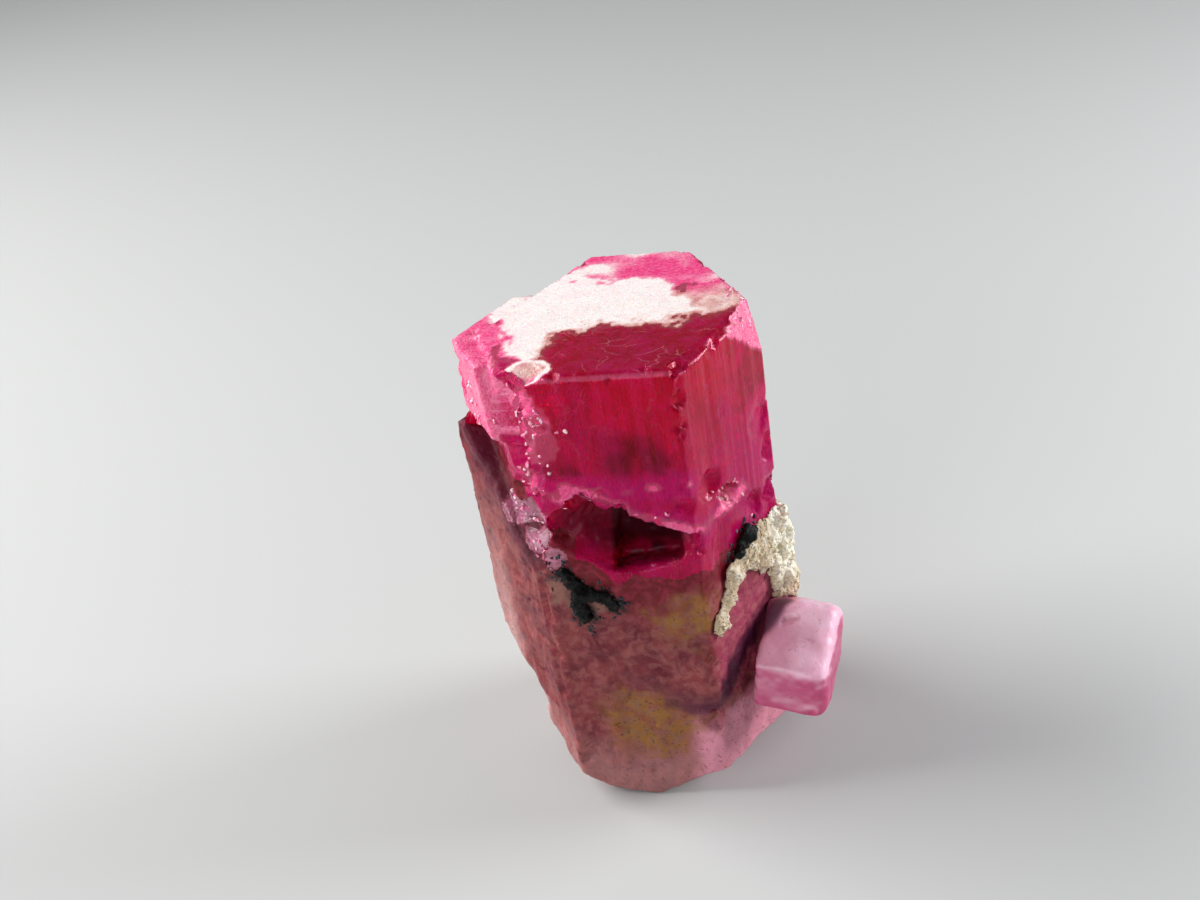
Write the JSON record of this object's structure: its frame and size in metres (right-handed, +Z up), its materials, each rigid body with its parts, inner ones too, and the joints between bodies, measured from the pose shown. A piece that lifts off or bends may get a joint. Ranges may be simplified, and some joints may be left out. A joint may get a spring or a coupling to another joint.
{
  "type": "raw red beryl crystal",
  "caption": "Raw six-sided red beryl crystal with a clear crimson cap, a milky pink body, a small side crystal, pale host rock and black grains, standing on its flat base.",
  "frame": {"origin": "the point of the flat base that lies on the main crystal's long axis", "axes": "+Z up along the main crystal's long axis, -Y out of its front prism face, +X towards the side crystal"},
  "size_m": [0.0119, 0.0088, 0.0171],
  "materials": {
    "red_beryl": "glassy, with milky zones",
    "pink_beryl": "satin",
    "rhyolite": "rough and grainy",
    "black_oxide": "dull metallic"
  },
  "bodies": {
    "root": {"main_crystal": "red_beryl", "side_crystal": "pink_beryl", "host_rock": "rhyolite", "black_grains_front": "black_oxide", "black_grains_side": "black_oxide"}
  },
  "joints": []
}
